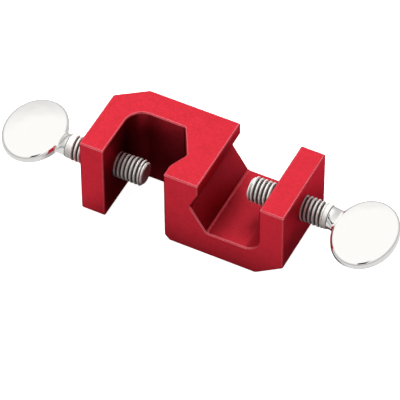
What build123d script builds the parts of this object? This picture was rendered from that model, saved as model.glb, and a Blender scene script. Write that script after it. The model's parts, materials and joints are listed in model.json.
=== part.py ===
from build123d import *
import math
import os

# Right-angle clamp holder: a one-piece body with two crossed C jaws, and two thumbscrews.
#
# The vertical jaw (-X end) opens to the front and takes a vertical rod. The horizontal jaw
# (+X end) opens upwards and takes a rod that runs front to back. Each jaw has a V notch on
# the web, and a thumbscrew comes through its outer arm to press the rod into the notch.
#
# Frame: millimetres, +X along the body, +Y to the back, +Z up. The origin is the centre of
# the body's bottom face.

os.makedirs("parts", exist_ok=True)

# --- driving dimensions of the body -------------------------------------------------------
BODY_LENGTH = 80.0
BAR = 34.0                 # side of the square bar the body is cut from
ARM = 9.5                  # thickness of each outer arm
WEB = 13.4                 # thickness of the block between the jaws, outside the notches
LAND = 5.0                 # flat strip of the web between the open side and the notch
NOTCH_LEVEL = 12.0         # distance of the notch's root from the open side
NOTCH_DEPTH = 3.1          # how far the notch's root goes into the web
VERTICAL_JAW_FLOOR = 23.6  # distance of the jaw's floor from the open side
HORIZONTAL_JAW_FLOOR = 22.6
FLANK_RUNOUT = 3.4         # how far the notch's lower flank ends outside the web's wall
CORNER_RADIUS = 6.5        # between each floor and its arm
END_CHAMFER_X = 10.7       # large corner cut behind each jaw, along the body
END_CHAMFER = 7.7          # the same cut, across the body
FOOT_CHAMFER = 2.0         # on the short bottom edge of the web
EDGE_BREAK = 0.4
OVERCUT = 1.0              # how far each jaw's cutter starts outside the bar
EDGE_REACH = 0.01          # half the band in which an edge is looked for

# --- driving dimensions of the screws -----------------------------------------------------
THREAD_DIAMETER = 9.525    # 3/8 inch, 16 threads per inch
BORE_CLEARANCE = 0.05      # radial, where a screw passes its arm
SCREW_LEVEL = 11.0         # distance of the screw's axis from the open side
TIP_REACH = 11.2           # how far the tip stands inside the jaw as drawn
TIP_CHAMFER = 1.0
THREAD_OUTSIDE = 8.4       # threaded length outside the arm as drawn
COLLAR_END = 10.2          # the smooth collar ends here, outside the arm
COLLAR_DIAMETER = 9.0
TENON_DIAMETER = 3.2       # the stud's end that the head holds
TENON_LENGTH = 3.8
TENON_CLEARANCE = 0.05     # radial, and at the shoulder

# --- driving dimensions of the heads ------------------------------------------------------
HEAD_CENTRE = 14.2         # centre of the oval paddle, outside the collar's end
HEAD_HALF_LENGTH = 11.5    # along the screw
HEAD_HALF_WIDTH = 14.1     # across the screw
HEAD_HALF_DEPTH = 3.2      # half the paddle's thickness at its middle
FACE_RADIUS = 60.0         # of the two domed faces
RIM_RADIUS = 1.4
NECK_START = (4.3, 4.3)    # half width and half thickness at the collar
NECK_SECTIONS = (          # distance from the collar, half width, half thickness
    (0.9, 4.2, 4.05),
    (2.6, 4.5, 2.75),
    (4.6, 5.6, 1.9),
)
NECK_FILLET = 1.0          # between the neck and the paddle
LEFT_HEAD_LEAN = 3.0       # degrees the paddle leans in its own plane, from the collar's end
RIGHT_HEAD_LEAN = 7.0
LEFT_HEAD_TURN = 5.5       # degrees the paddle is turned from level, as drawn
RIGHT_HEAD_TURN = 190.0    # half a turn more, so this paddle leans the other way

THREAD_RADIUS = THREAD_DIAMETER / 2
ARM_FACE = BODY_LENGTH / 2
ARM_WALL = ARM_FACE - ARM
WEB_WALL = WEB / 2
MOUTH = ARM_WALL - WEB_WALL

# The vertical jaw's depth runs along +Y from the front; the horizontal one's along -Z from
# the top. x_dir points from the web to the arm, and y_dir into the jaw.
VERTICAL_JAW = Plane(origin=(-WEB_WALL, -BAR / 2, BAR), x_dir=(-1, 0, 0), z_dir=(0, 0, -1))
HORIZONTAL_JAW = Plane(origin=(WEB_WALL, -BAR / 2, BAR), x_dir=(1, 0, 0), z_dir=(0, 1, 0))

# Each screw's own frame: its origin is on the arm's outer face, z_dir points outwards along
# the screw, and x_dir runs across the paddle.
LEFT_SCREW_Y = -BAR / 2 + SCREW_LEVEL
RIGHT_SCREW_Z = BAR - SCREW_LEVEL


def across(turn):
    """The direction across a paddle that is turned from level by this many degrees."""
    angle = math.radians(turn)
    return (0, math.cos(angle), math.sin(angle))


LEFT_SCREW = Plane(
    origin=(-ARM_FACE, LEFT_SCREW_Y, BAR / 2), x_dir=across(LEFT_HEAD_TURN), z_dir=(-1, 0, 0)
)
RIGHT_SCREW = Plane(
    origin=(ARM_FACE, 0, RIGHT_SCREW_Z), x_dir=across(RIGHT_HEAD_TURN), z_dir=(1, 0, 0)
)


def jaw_outline(jaw, floor):
    """One jaw's opening: V notch, floor and rounded corner. It starts outside the bar."""
    with BuildSketch(jaw, mode=Mode.PRIVATE) as outline:
        with BuildLine():
            Polyline(
                (MOUTH, -OVERCUT),
                (0, -OVERCUT),
                (0, LAND),
                (-NOTCH_DEPTH, NOTCH_LEVEL),
                (FLANK_RUNOUT, floor),
            )
            FilletPolyline(
                (FLANK_RUNOUT, floor),
                (MOUTH, floor),
                (MOUTH, -OVERCUT),
                radius=CORNER_RADIUS,
            )
        make_face()
    return outline.sketch


def stud_profile(axial):
    """Half of a stud's section: x is the radius, and y runs outwards along the screw."""
    tip = -(ARM + TIP_REACH)
    tenon_end = COLLAR_END + TENON_LENGTH
    with BuildSketch(axial, mode=Mode.PRIVATE) as profile:
        with BuildLine():
            Polyline(
                (0, tip),
                (THREAD_RADIUS - TIP_CHAMFER, tip),
                (THREAD_RADIUS, tip + TIP_CHAMFER),
                (THREAD_RADIUS, THREAD_OUTSIDE),
                (COLLAR_DIAMETER / 2, THREAD_OUTSIDE),
                (COLLAR_DIAMETER / 2, COLLAR_END),
                (TENON_DIAMETER / 2, COLLAR_END),
                (TENON_DIAMETER / 2, tenon_end),
                (0, tenon_end),
                close=True,
            )
        make_face()
    return profile.sketch


def lengthwise(plane):
    """The plane that holds this one's x and z directions, as its own x and y."""
    return Plane(origin=plane.origin, x_dir=plane.x_dir, z_dir=plane.x_dir.cross(plane.z_dir))


def face_profile(plane):
    """Half of a lens: x runs across the paddle, and y is square to its faces."""
    reach = HEAD_HALF_WIDTH + OVERCUT
    edge = HEAD_HALF_DEPTH - FACE_RADIUS + math.sqrt(FACE_RADIUS**2 - reach**2)
    with BuildSketch(plane, mode=Mode.PRIVATE) as profile:
        with BuildLine():
            Line((0, -HEAD_HALF_DEPTH), (0, HEAD_HALF_DEPTH))
            RadiusArc((0, HEAD_HALF_DEPTH), (reach, edge), FACE_RADIUS)
            Line((reach, edge), (reach, -edge))
            RadiusArc((reach, -edge), (0, -HEAD_HALF_DEPTH), FACE_RADIUS)
        make_face()
    return profile.sketch


def neck_section(plane, half_width, half_thickness):
    """An oval section of a neck."""
    with BuildSketch(plane, mode=Mode.PRIVATE) as section:
        Ellipse(half_width, half_thickness)
    return section.sketch


# ----- body -------------------------------------------------------------------------------
with BuildPart() as clamp_body:
    Box(BODY_LENGTH, BAR, BAR, align=(Align.CENTER, Align.CENTER, Align.MIN))

    # large corner cuts: behind the vertical jaw, and below the horizontal one
    with BuildSketch(Plane.XY):
        with BuildLine():
            Polyline(
                (-ARM_FACE, BAR / 2),
                (-ARM_FACE, BAR / 2 - END_CHAMFER),
                (-ARM_FACE + END_CHAMFER_X, BAR / 2),
                close=True,
            )
        make_face()
    extrude(amount=BAR, mode=Mode.SUBTRACT)
    with BuildSketch(Plane.XZ.offset(BAR / 2)):
        with BuildLine():
            Polyline(
                (ARM_FACE, 0),
                (ARM_FACE, END_CHAMFER),
                (ARM_FACE - END_CHAMFER_X, 0),
                close=True,
            )
        make_face()
    extrude(amount=-BAR, mode=Mode.SUBTRACT)

    # the two jaws
    for jaw, floor in (
        (VERTICAL_JAW, VERTICAL_JAW_FLOOR),
        (HORIZONTAL_JAW, HORIZONTAL_JAW_FLOOR),
    ):
        extrude(jaw_outline(jaw, floor), amount=BAR, mode=Mode.SUBTRACT)

    # foot chamfer on the short bottom edge between the web's land and the bottom face
    foot_edge = (
        clamp_body.edges()
        .filter_by(Axis.Y)
        .filter_by_position(Axis.Z, -EDGE_REACH, EDGE_REACH)
        .filter_by_position(Axis.X, -WEB_WALL - EDGE_REACH, -WEB_WALL + EDGE_REACH)
    )
    chamfer(foot_edge, length=FOOT_CHAMFER)

    # every other outside edge is broken
    chamfer(clamp_body.edges().filter_by(GeomType.LINE), length=EDGE_BREAK)

    # the arms' screw bores
    for screw in (LEFT_SCREW, RIGHT_SCREW):
        with BuildSketch(screw):
            Circle(THREAD_RADIUS + BORE_CLEARANCE)
        extrude(amount=-ARM, mode=Mode.SUBTRACT)

clamp_body.part.label = "clamp_body"
export_step(clamp_body.part, "parts/clamp_body.step")

# ----- studs and heads --------------------------------------------------------------------
for side, screw, lean in (
    ("left", LEFT_SCREW, LEFT_HEAD_LEAN),
    ("right", RIGHT_SCREW, RIGHT_HEAD_LEAN),
):
    with BuildPart() as stud:
        revolve(stud_profile(lengthwise(screw)), axis=Axis(screw.origin, screw.z_dir))
    stud.part.label = f"{side}_stud"
    export_step(stud.part, f"parts/{side}_stud.step")

    neck = screw.offset(COLLAR_END + TENON_CLEARANCE)
    leaning = Plane(neck.location * Rotation(0, lean, 0))
    with BuildPart() as head:
        # the oval paddle, cut to a lens and rounded along its rim
        with BuildSketch(lengthwise(leaning)):
            with Locations((0, HEAD_CENTRE)):
                Ellipse(HEAD_HALF_WIDTH, HEAD_HALF_LENGTH)
        extrude(amount=HEAD_HALF_DEPTH + OVERCUT, both=True)
        middle = leaning.offset(HEAD_CENTRE)
        normal = Axis(middle.origin, middle.y_dir)
        revolve(face_profile(middle), axis=normal, mode=Mode.INTERSECT)
        fillet(head.edges().sort_by(SortBy.LENGTH)[-2:], radius=RIM_RADIUS)

        # the neck: round at the collar, flattened and wider where it meets the paddle
        sections = [neck_section(neck, *NECK_START)]
        for distance, half_width, half_thickness in NECK_SECTIONS:
            section = neck_section(leaning.offset(distance), half_width, half_thickness)
            sections.append(section)
        loft(sections)
        fillet(head.edges(Select.NEW), radius=NECK_FILLET)

        # the blind hole for the stud's tenon
        with BuildSketch(screw.offset(COLLAR_END)):
            Circle(TENON_DIAMETER / 2 + TENON_CLEARANCE)
        extrude(amount=TENON_LENGTH + TENON_CLEARANCE, mode=Mode.SUBTRACT)
    head.part.label = f"{side}_head"
    export_step(head.part, f"parts/{side}_head.step")
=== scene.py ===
import json
import math

import bmesh
import bpy
import numpy as np
from mathutils import Matrix, Vector


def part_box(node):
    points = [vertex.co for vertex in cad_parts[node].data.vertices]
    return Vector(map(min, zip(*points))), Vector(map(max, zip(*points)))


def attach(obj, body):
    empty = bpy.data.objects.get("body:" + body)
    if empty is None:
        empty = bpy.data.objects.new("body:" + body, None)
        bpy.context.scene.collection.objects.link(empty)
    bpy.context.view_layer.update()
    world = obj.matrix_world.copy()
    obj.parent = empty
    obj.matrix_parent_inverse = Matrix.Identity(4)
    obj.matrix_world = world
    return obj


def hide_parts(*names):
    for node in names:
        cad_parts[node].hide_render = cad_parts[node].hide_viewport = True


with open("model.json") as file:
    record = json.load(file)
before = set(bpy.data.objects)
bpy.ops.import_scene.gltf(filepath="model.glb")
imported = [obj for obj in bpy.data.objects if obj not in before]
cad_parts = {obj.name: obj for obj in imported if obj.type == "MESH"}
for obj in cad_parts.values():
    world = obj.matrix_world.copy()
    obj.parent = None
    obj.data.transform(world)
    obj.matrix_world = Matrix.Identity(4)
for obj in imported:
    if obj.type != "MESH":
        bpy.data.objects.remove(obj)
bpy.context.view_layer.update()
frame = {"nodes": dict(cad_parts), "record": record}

MM = 0.001
RECORD = frame["record"]
SLOT_COLOUR = {m["slot"]: (*m["base_color"], 1.0) for m in RECORD["materials"]}
BODY_LOW, BODY_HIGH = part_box("clamp_body")
BODY_CENTRE = (BODY_LOW + BODY_HIGH) / 2

# ----- the stage ---------------------------------------------------------------------------
FLOOR_SIZE = 6.0                      # m
FLOOR_BELOW = 0.02 * MM               # the floor's distance below the body
FLOOR_GLOW = 0.97                     # what the camera sees of the floor
FLOOR_BOUNCE = 0.02                   # how much light the floor throws back on the object
FLOOR_MIRRORED = 0.80                 # its brightness in reflections
FLOOR_UNDER = 0.05                    # the same, under the body
FLOOR_SHADE = 22 * MM                 # how far the body shades it
SHADE_SHIFT = (8 * MM, 5 * MM)        # the shade falls to the right and to the back
AMBIENT = 0.06                        # soft light from all round
TENT_LOW = 0.72                       # the light tent's brightness in reflections
TENT_HIGH = 1.14
GAP = 0.30                            # the dark gap between the tent and the table
ONLOOKER_SIZE = (0.42, 0.9)           # m
ONLOOKER_GLOW = 0.01
ONLOOKER_BEHIND = 0.05                # m behind the camera
LIGHT_DISTANCE = 0.9                  # m, from the body's centre to each soft box

# ----- marks on the object -----------------------------------------------------------------
GROOVE = "groove"                     # mesh attribute: 0 on a thread's crest, 1 at its root
HIGHLIGHT_SIDE = (0.25, -0.55, 0.80)     # edges that face this way get a painted highlight
ANODISED_RED = (0.74, 0.034, 0.055)
# the painted highlight along the edges that face up and to the front
EDGE_HIGHLIGHT = (1.0, 0.40, 0.45, 1.0)
# the painted shade along the edges that face away from the highlight side
EDGE_SHADE = (0.07, 0.003, 0.006, 1.0)
# the painted shade deep inside the jaws
HOLLOW_SHADE = (0.02, 0.002, 0.003, 1.0)
# the painted shade in a thread's grooves
GROOVE_SHADE = (0.03, 0.027, 0.025, 1.0)
SPECULAR_TINT = (1.0, 0.35, 0.40, 1.0)

# ----- the camera --------------------------------------------------------------------------
CAMERA_AZIMUTH = math.radians(27.007)
CAMERA_ELEVATION = math.radians(48.461)
CAMERA_ROLL = math.radians(0.33)      # the camera leans clockwise
CAMERA_DISTANCE = 1232.5 * MM
CAMERA_LENS = 312.8                   # mm on a 36 mm sensor
AIM_RIGHT = -0.873 * MM               # the aim point's offset from the body's centre
AIM_UP = -6.749 * MM


def make_camera():
    """A long lens to the right of the front and above it, aimed below the body's centre."""
    a, e = CAMERA_AZIMUTH, CAMERA_ELEVATION
    back = Vector((math.sin(a) * math.cos(e), -math.cos(a) * math.cos(e), math.sin(e)))
    right = Vector((math.cos(a), math.sin(a), 0))
    up = back.cross(right)
    aim = BODY_CENTRE + right * AIM_RIGHT + up * AIM_UP
    level = Matrix((right, up, back)).transposed().to_4x4()
    data = bpy.data.cameras.new("camera")
    data.sensor_width = 36.0
    data.lens = CAMERA_LENS
    data.clip_start = 0.05
    data.clip_end = 20.0
    camera = bpy.data.objects.new("camera", data)
    bpy.context.scene.collection.objects.link(camera)
    roll = Matrix.Rotation(-CAMERA_ROLL, 4, "Z")
    camera.matrix_world = Matrix.Translation(aim + back * CAMERA_DISTANCE) @ level @ roll
    bpy.context.scene.camera = camera


# ----- node helpers ------------------------------------------------------------------------
def new_material(name):
    """An empty node material, with its node tree and its output node."""
    material = bpy.data.materials.new(name)
    material.use_nodes = True
    tree = material.node_tree
    tree.nodes.clear()
    output = tree.nodes.new("ShaderNodeOutputMaterial")
    return material, tree, output


def add(tree, kind, **sockets):
    """A node of that kind, with its input sockets set to values or linked to other sockets."""
    node = tree.nodes.new(kind)
    for name, value in sockets.items():
        put(tree, node, name.replace("_", " "), value)
    return node


def put(tree, node, name, value):
    """Sets one input socket, or links it when the value is another node's socket. A name such
    as in6 stands for the input at that index."""
    socket = node.inputs[int(name[2:])] if name.startswith("in") and name[2:].isdigit() \
        else node.inputs[name]
    if isinstance(value, bpy.types.NodeSocket):
        tree.links.new(value, socket)
    else:
        socket.default_value = value


def noise(tree, where, scale, detail=2.0, roughness=0.5):
    """A noise texture in the object's own space: scale is the size of its features."""
    return add(tree, "ShaderNodeTexNoise", Vector=where, Scale=1 / scale, Detail=detail,
               Roughness=roughness).outputs["Fac"]


def remap(tree, value, low, high, to_low, to_high):
    """A value from low..high mapped to to_low..to_high, and held at the ends."""
    node = add(tree, "ShaderNodeMapRange", Value=value)
    node.inputs["From Min"].default_value = low
    node.inputs["From Max"].default_value = high
    node.inputs["To Min"].default_value = to_low
    node.inputs["To Max"].default_value = to_high
    return node.outputs["Result"]


def mix_colour(tree, factor, a, b):
    """Colour a where the factor is 0, and b where it is 1."""
    node = tree.nodes.new("ShaderNodeMix")
    node.data_type = "RGBA"
    put(tree, node, "in0", factor)
    put(tree, node, "in6", a)
    put(tree, node, "in7", b)
    return node.outputs[2]


def math_node(tree, operation, a, b=0.0):
    """The result of one operation on one or two numbers."""
    node = tree.nodes.new("ShaderNodeMath")
    node.operation = operation
    put(tree, node, "in0", a)
    put(tree, node, "in1", b)
    return node.outputs[0]


def along(tree, vector, direction):
    """How far a vector points in a direction: their dot product."""
    node = tree.nodes.new("ShaderNodeVectorMath")
    node.operation = "DOT_PRODUCT"
    put(tree, node, "in0", vector)
    put(tree, node, "in1", direction)
    return node.outputs["Value"]


def shade_of(colour, factor, lift=0.0):
    """A colour with its channels scaled and lifted, up to 1, and an alpha of 1."""
    return tuple(min(1.0, c * factor + lift) for c in colour[:3]) + (1.0,)


# ----- materials ---------------------------------------------------------------------------
def red_anodised():
    """Red anodised aluminium with a fine matt grain, with a painted highlight along the edges
    that face up and to the front, and painted shade along the other edges."""
    material, tree, output = new_material("body_red_anodised")
    where = tree.nodes.new("ShaderNodeTexCoord").outputs["Object"]
    grain = noise(tree, where, 0.16 * MM, 3.0, 0.6)
    mottle = noise(tree, where, 0.9 * MM, 4.0, 0.65)
    cloud = noise(tree, where, 12 * MM, 2.0)
    stains = noise(tree, where, 4 * MM, 5.0, 0.7)

    # the edges: where a rounded normal differs from the face's own. Edges that face up and to
    # the front get a painted highlight, and the others get painted shade.
    bevel = add(tree, "ShaderNodeBevel", Radius=0.5 * MM)
    bevel.samples = 6
    normal = tree.nodes.new("ShaderNodeNewGeometry").outputs["Normal"]
    turned = along(tree, bevel.outputs["Normal"], normal)
    facing = along(tree, bevel.outputs["Normal"], Vector(HIGHLIGHT_SIDE).normalized())
    highlight_facing = remap(tree, facing, 0.45, 0.75, 0.0, 1.0)
    narrow = math_node(tree, "MULTIPLY", remap(tree, turned, 0.99, 0.94, 0.0, 1.0), highlight_facing)
    edge_highlight = math_node(tree, "MULTIPLY", narrow, remap(tree, mottle, 0.35, 0.65, 0.7, 1.0))
    shade_facing = math_node(tree, "SUBTRACT", 1.0, highlight_facing)
    shadowed = math_node(tree, "MULTIPLY", remap(tree, turned, 0.995, 0.96, 0.0, 0.9), shade_facing)

    speckled = mix_colour(tree, remap(tree, mottle, 0.3, 0.7, 0.0, 1.0),
                          shade_of(ANODISED_RED, 0.86), shade_of(ANODISED_RED, 1.10, 0.004))
    shaded = mix_colour(tree, remap(tree, grain, 0.3, 0.7, 0.0, 0.5), speckled,
                        shade_of(ANODISED_RED, 1.0))
    stain = remap(tree, stains, 0.45, 0.75, 0.0, 0.22)
    shaded = mix_colour(tree, stain, shaded, shade_of(ANODISED_RED, 0.55))
    # painted shade on the edges that face away, then a painted highlight on those facing up and
    # to the front
    coloured = mix_colour(tree, shadowed, shaded, EDGE_SHADE)
    coloured = mix_colour(tree, edge_highlight, coloured, EDGE_HIGHLIGHT)

    # painted shade deep inside the jaws, where the occlusion node finds hollows, and less of it
    # on faces that look up
    hollow = add(tree, "ShaderNodeAmbientOcclusion", Distance=40 * MM)
    hollow.samples = 8
    hollow.only_local = True
    depth = remap(tree, hollow.outputs["AO"], 0.38, 0.88, 0.97, 0.0)
    upward = along(tree, normal, (0.0, 0.0, 1.0))
    depth = math_node(tree, "MULTIPLY", depth, remap(tree, upward, 0.3, 0.9, 1.0, 0.6))
    coloured = mix_colour(tree, depth, coloured, HOLLOW_SHADE)

    rough = remap(tree, math_node(tree, "ADD", grain, cloud), 0.7, 1.3, 0.36, 0.46)
    bump = add(tree, "ShaderNodeBump", Strength=0.5, Distance=0.012 * MM, Height=grain)
    bump_wide = add(tree, "ShaderNodeBump", Strength=0.2, Distance=0.02 * MM, Height=mottle,
                    Normal=bump.outputs["Normal"])
    shader = add(tree, "ShaderNodeBsdfPrincipled", Base_Color=coloured, Metallic=0.80,
                 Roughness=rough, Normal=bump_wide.outputs["Normal"])
    shader.inputs["Specular IOR Level"].default_value = 0.02
    shader.inputs["Specular Tint"].default_value = SPECULAR_TINT
    tree.links.new(shader.outputs["BSDF"], output.inputs["Surface"])
    return material


def nickel(name, slot, gain, rough_low, rough_high, wave, metallic):
    """Bright nickel plate: faint polishing waves, hairline scratches and a few dull specks.
    It has painted shade in a thread's grooves, where the mesh's groove attribute is 1. The gain
    brightens the slot's colour."""
    material, tree, output = new_material(name)
    where = tree.nodes.new("ShaderNodeTexCoord").outputs["Object"]
    colour = shade_of(SLOT_COLOUR[slot], gain)
    stretched = add(tree, "ShaderNodeMapping", Vector=where)
    stretched.inputs["Scale"].default_value = (1.0, 9.0, 9.0)
    lines = noise(tree, stretched.outputs["Vector"], 1.1 * MM, 3.0, 0.7)
    ripple = noise(tree, where, 5.0 * MM, 1.0, 0.4)
    specks = noise(tree, where, 0.35 * MM, 3.0, 0.7)
    shaded = mix_colour(tree, remap(tree, specks, 0.62, 0.78, 0.0, 0.6), colour,
                        shade_of(colour, 0.86))
    groove = tree.nodes.new("ShaderNodeAttribute")
    groove.attribute_name = GROOVE
    # painted shade in a thread's grooves
    dark = remap(tree, groove.outputs["Fac"], 0.40, 0.62, 0.0, 0.985)
    shaded = mix_colour(tree, dark, shaded, GROOVE_SHADE)
    rough = remap(tree, lines, 0.35, 0.75, rough_low, rough_high)
    wide = add(tree, "ShaderNodeBump", Strength=wave, Distance=0.35 * MM, Height=ripple)
    fine = add(tree, "ShaderNodeBump", Strength=0.05, Distance=0.01 * MM, Height=lines,
               Normal=wide.outputs["Normal"])
    shader = add(tree, "ShaderNodeBsdfPrincipled", Base_Color=shaded, Metallic=metallic,
                 Roughness=rough, Normal=fine.outputs["Normal"])
    tree.links.new(shader.outputs["BSDF"], output.inputs["Surface"])
    return material


# ----- the threaded studs ------------------------------------------------------------------
PITCH = 2 * math.pi / RECORD["behaviour"]["couplings"][0]["ratio"]
THREAD_DEPTH = 0.46 * PITCH           # 60 degree flanks, with flat crests
FLANK_WIDTH = THREAD_DEPTH * math.tan(math.radians(30))
CREST_HALF = 0.13 * PITCH             # half the crest's flat width
CREST_ROUND = 0.14                    # softness of the crest and root corners, in flanks
FLANK_STEPS = (-0.12, -0.03, 0.06, 0.2, 0.5, 0.8, 0.94, 1.03, 1.12)   # in flanks
TIP_CHAMFER = 1.0 * MM
TIP_FACE_RADIUS = 2.1 * MM            # the dished middle of the tip's face
TIP_DISH = 0.18 * MM
TENON_LENGTH = 3.8 * MM
TENON_RADIUS = 1.6 * MM
COLLAR_LENGTH = 1.8 * MM
COLLAR_RADIUS = 4.5 * MM
COLLAR_EDGE = 0.35 * MM
THREAD_FADE = 1.3 * PITCH             # over which the groove runs out towards the collar
AROUND = 96                           # points round the stud
SHARP_ANGLE = 34                      # degrees


def groove_depth(distance):
    """Depth of the thread below its crest, for a distance from a crest's centre."""
    s = (np.abs(distance) - CREST_HALF) / FLANK_WIDTH
    k = CREST_ROUND
    return THREAD_DEPTH * (np.sqrt(s * s + k * k) - np.sqrt((s - 1) ** 2 + k * k) + 1) / 2


def profile_positions():
    """Points across one pitch, close together at the crest's and the root's corners."""
    half = CREST_HALF + np.array(FLANK_STEPS) * FLANK_WIDTH
    return np.concatenate(([0.0], half, [PITCH / 2], PITCH - half[::-1]))


def thread_mesh(length, radius):
    """A right-hand thread along +X from x = 0, closed at both ends: x = length is its collar's
    end, and a tenon follows. The crest is at the given radius."""
    across = profile_positions()
    thread_end = length - COLLAR_LENGTH
    fade_end = thread_end - TIP_CHAMFER / 2
    turns = int(math.ceil(length / PITCH)) + 3
    bm = bmesh.new()
    rows = []
    for n in range(turns * AROUND + 1):
        angle = 2 * math.pi * n / AROUND
        start = (n / AROUND - 2) * PITCH
        r = radius - groove_depth((across + PITCH / 2) % PITCH - PITCH / 2)
        rows.append([
            bm.verts.new((start + x, -ri * math.sin(angle), ri * math.cos(angle)))
            for x, ri in zip(across, r)
        ])
    count = len(across)
    for n in range((turns - 1) * AROUND):
        for k in range(count):
            a, b = rows[n][k], rows[n + 1][k]
            if k + 1 < count:
                c, d = rows[n + 1][k + 1], rows[n][k + 1]
            else:
                c, d = rows[n + 1 + AROUND][0], rows[n + AROUND][0]
            bm.faces.new((a, b, c, d))

    # cut to length, with an edge where each chamfer starts
    for x in (TIP_CHAMFER, fade_end):
        cut(bm, x)
    cut(bm, 0.0, drop="below")
    cut(bm, thread_end, drop="above")
    lonely = [v for v in bm.verts if not v.link_faces]
    bmesh.ops.delete(bm, geom=lonely, context="VERTS")

    # the tip's chamfer, the groove's runout and the chamfer down to the collar
    for v in bm.verts:
        r = math.hypot(v.co.y, v.co.z)
        tip = radius - TIP_CHAMFER + max(0.0, v.co.x)
        to_end = thread_end - v.co.x
        collar = COLLAR_RADIUS + max(0.0, to_end)
        fade = max(0.0, 1 - to_end / THREAD_FADE)
        root = radius - THREAD_DEPTH
        floor = root + (COLLAR_RADIUS - root) * (3 * fade ** 2 - 2 * fade ** 3)
        new = min(tip, collar, max(r, floor))
        v.co.y *= new / r
        v.co.z *= new / r

    # the tip's face, then the collar, the shoulder and the tenon
    close_end(bm, 0.0, ((0.0, radius - 1.35 * TIP_CHAMFER), (TIP_DISH, TIP_FACE_RADIUS)))
    close_end(bm, thread_end, (
        (length - COLLAR_EDGE, COLLAR_RADIUS),
        (length, COLLAR_RADIUS - COLLAR_EDGE),
        (length, TENON_RADIUS),
        (length + TENON_LENGTH, TENON_RADIUS),
    ))
    bmesh.ops.recalc_face_normals(bm, faces=bm.faces)
    mark_sharp(bm, SHARP_ANGLE)
    # the groove attribute sets painted shade: 0 on a crest, 1 at a root, and 1 on the shoulder
    # and the tenon where the stud meets its head
    groove = bm.verts.layers.float.new(GROOVE)
    for v in bm.verts:
        if v.co.x > length - COLLAR_EDGE / 2:
            v[groove] = 1.0
        elif TIP_CHAMFER < v.co.x < fade_end:
            depth = (radius - math.hypot(v.co.y, v.co.z)) / THREAD_DEPTH
            v[groove] = min(1.0, max(0.0, depth))
    return bm


def cut(bm, x, drop=None):
    """Cuts every face along the plane at x, and drops what is below or above it."""
    bmesh.ops.bisect_plane(
        bm, geom=list(bm.verts) + list(bm.edges) + list(bm.faces), dist=1e-9,
        plane_co=(x, 0, 0), plane_no=(1, 0, 0),
        clear_inner=drop == "below", clear_outer=drop == "above",
    )


def close_end(bm, x, rings):
    """Carries the open end at x on through rings of (x, radius), and closes the last one."""
    edges = [e for e in bm.edges if e.is_boundary and abs(e.verts[0].co.x - x) < 1e-6]
    for ring_x, ring_r in rings:
        made = bmesh.ops.extrude_edge_only(bm, edges=edges)["geom"]
        edges = [g for g in made if isinstance(g, bmesh.types.BMEdge)]
        for v in {v for e in edges for v in e.verts}:
            scale = ring_r / math.hypot(v.co.y, v.co.z)
            v.co = Vector((ring_x, v.co.y * scale, v.co.z * scale))
    bmesh.ops.contextual_create(bm, geom=edges)


def mark_sharp(bm, degrees):
    """Smooth shading, with edges sharper than this angle in degrees kept crisp."""
    for f in bm.faces:
        f.smooth = True
    for e in bm.edges:
        e.smooth = len(e.link_faces) == 2 and e.calc_face_angle(0) < math.radians(degrees)


def make_stud(side, material):
    """The visible stud in place of its plain CAD cylinder: same tip, length and diameter."""
    low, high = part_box(f"{side}_stud")
    radius = (high.y - low.y) / 2
    y, z = (low.y + high.y) / 2, (low.z + high.z) / 2
    bm = thread_mesh(high.x - low.x - TENON_LENGTH, radius)
    if side == "left":
        place = Matrix.Translation((high.x, y, z)) @ Matrix.Rotation(math.pi, 4, "Z")
    else:
        place = Matrix.Translation((low.x, y, z))
    bmesh.ops.transform(bm, matrix=place, verts=bm.verts)
    mesh = bpy.data.meshes.new(f"{side}_threaded_stud")
    bm.to_mesh(mesh)
    bm.free()
    mesh.materials.append(material)
    stud = bpy.data.objects.new(f"{side}_threaded_stud", mesh)
    bpy.context.scene.collection.objects.link(stud)
    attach(stud, f"{side}_stud")
    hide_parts(f"{side}_stud")


# ----- floor, world and lights -------------------------------------------------------------
def by_ray(tree, seen, glossy, diffuse):
    """One shader for what the camera sees directly, one for reflections, one for soft light.
    It is for the floor and the world only."""
    path = tree.nodes.new("ShaderNodeLightPath")
    inner = tree.nodes.new("ShaderNodeMixShader")
    tree.links.new(path.outputs["Is Glossy Ray"], inner.inputs[0])
    tree.links.new(diffuse, inner.inputs[1])
    tree.links.new(glossy, inner.inputs[2])
    outer = tree.nodes.new("ShaderNodeMixShader")
    tree.links.new(path.outputs["Is Camera Ray"], outer.inputs[0])
    tree.links.new(inner.outputs[0], outer.inputs[1])
    tree.links.new(seen, outer.inputs[2])
    return outer.outputs[0]


def glow(tree, strength):
    """A plain white light of that strength."""
    return add(tree, "ShaderNodeEmission", Color=(1, 1, 1, 1), Strength=strength).outputs[0]


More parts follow.
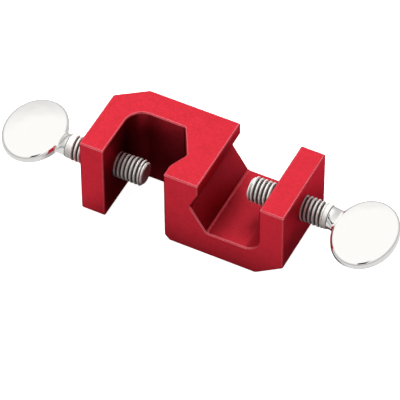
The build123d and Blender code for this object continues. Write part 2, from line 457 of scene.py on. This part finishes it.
def make_floor():
    """A plain white table. It throws less light back on the object than it shows, and in
    reflections it is dark close to the body, where the body shades it."""
    bpy.ops.mesh.primitive_plane_add(size=FLOOR_SIZE, location=(0, 0, BODY_LOW.z - FLOOR_BELOW))
    floor = bpy.context.object
    floor.name = "floor"
    material, tree, output = new_material("floor_white")
    seen = add(tree, "ShaderNodeBsdfPrincipled", Base_Color=(0.8, 0.8, 0.8, 1), Roughness=0.8)
    seen.inputs["Emission Color"].default_value = (1, 1, 1, 1)
    seen.inputs["Emission Strength"].default_value = FLOOR_GLOW
    seen.inputs["Specular IOR Level"].default_value = 0.0
    bounce = add(tree, "ShaderNodeBsdfDiffuse", Color=(FLOOR_BOUNCE,) * 3 + (1,))

    where = tree.nodes.new("ShaderNodeTexCoord").outputs["Object"]
    place = tree.nodes.new("ShaderNodeSeparateXYZ")
    tree.links.new(where, place.inputs[0])
    outside = []
    for axis, half, shift in zip("XY", BODY_HIGH, SHADE_SHIFT):
        moved = math_node(tree, "SUBTRACT", place.outputs[axis], shift)
        beyond = math_node(tree, "SUBTRACT", math_node(tree, "ABSOLUTE", moved), half)
        outside.append(math_node(tree, "MAXIMUM", beyond, 0.0))
    away = math_node(tree, "ADD", *outside)
    mirrored = remap(tree, away, 0.0, FLOOR_SHADE, FLOOR_UNDER, FLOOR_MIRRORED)
    both = by_ray(tree, seen.outputs["BSDF"], glow(tree, mirrored), bounce.outputs[0])
    tree.links.new(both, output.inputs["Surface"])
    floor.data.materials.append(material)


def make_onlooker():
    """A dark panel behind the camera, seen only in reflections."""
    turn = bpy.context.scene.camera.matrix_world.to_quaternion()
    bpy.ops.mesh.primitive_plane_add(size=1.0)
    panel = bpy.context.object
    panel.name = "onlooker"
    panel.scale = (ONLOOKER_SIZE[0], ONLOOKER_SIZE[1], 1.0)
    panel.rotation_mode = "QUATERNION"
    panel.rotation_quaternion = turn
    panel.location = BODY_CENTRE + turn @ Vector((0, 0, 1)) * (CAMERA_DISTANCE + ONLOOKER_BEHIND)
    panel.visible_camera = False
    panel.visible_diffuse = False
    panel.visible_shadow = False
    material, tree, output = new_material("onlooker_dark")
    tree.links.new(glow(tree, ONLOOKER_GLOW), output.inputs["Surface"])
    panel.data.materials.append(material)


def area_light(name, direction, size, radiance):
    """A square soft box in a direction from the body, turned towards it, with an even
    brightness. It doesn't show in reflections."""
    data = bpy.data.lights.new(name, "AREA")
    data.shape = "RECTANGLE"
    data.size = data.size_y = size
    data.energy = radiance * math.pi * size * size
    light = bpy.data.objects.new(name, data)
    bpy.context.scene.collection.objects.link(light)
    towards = Vector(direction).normalized()
    light.location = BODY_CENTRE + towards * LIGHT_DISTANCE
    light.rotation_mode = "QUATERNION"
    light.rotation_quaternion = (-towards).to_track_quat("-Z", "Y")
    light.visible_glossy = False


def make_lights():
    """The light tent, as the world, and three soft boxes."""
    world = bpy.data.worlds.new("studio")
    bpy.context.scene.world = world
    world.use_nodes = True
    tree = world.node_tree
    tree.nodes.clear()
    output = tree.nodes.new("ShaderNodeOutputWorld")

    def sky(strength):
        node = add(tree, "ShaderNodeBackground", Color=(1, 1, 1, 1), Strength=strength)
        return node.outputs[0]

    # the tent in reflections: bright overhead, with a dark gap above the table
    where = tree.nodes.new("ShaderNodeTexCoord").outputs["Generated"]
    height = tree.nodes.new("ShaderNodeSeparateXYZ")
    tree.links.new(where, height.inputs[0])
    tent = remap(tree, height.outputs["Z"], 0.45, 0.78, TENT_LOW, TENT_HIGH)
    gap = remap(tree, height.outputs["Z"], 0.04, 0.24, GAP, 1.0)
    tent = math_node(tree, "MULTIPLY", tent, gap)
    tree.links.new(by_ray(tree, sky(1.0), sky(tent), sky(AMBIENT)), output.inputs["Surface"])
    area_light("overhead", (-0.42, 0.30, 0.82), 0.6, 10.0)
    area_light("fill", (-0.42, -0.85, 0.25), 0.45, 3.4)
    area_light("side", (0.93, 0.30, 0.20), 0.3, 3.0)


# ----- build -------------------------------------------------------------------------------
bpy.context.scene.view_settings.view_transform = "Standard"
make_camera()
make_floor()
make_onlooker()
make_lights()

frame["nodes"]["clamp_body"].data.materials[0] = red_anodised()
head_material = nickel("head_nickel", "plated_head", gain=1.0, rough_low=0.05,
                       rough_high=0.11, wave=0.25, metallic=1.0)
thread_material = nickel("thread_nickel", "plated_thread", gain=1.22, rough_low=0.16,
                         rough_high=0.26, wave=0.05, metallic=0.12)
for side in ("left", "right"):
    make_stud(side, thread_material)
    frame["nodes"][f"{side}_head"].data.materials[0] = head_material
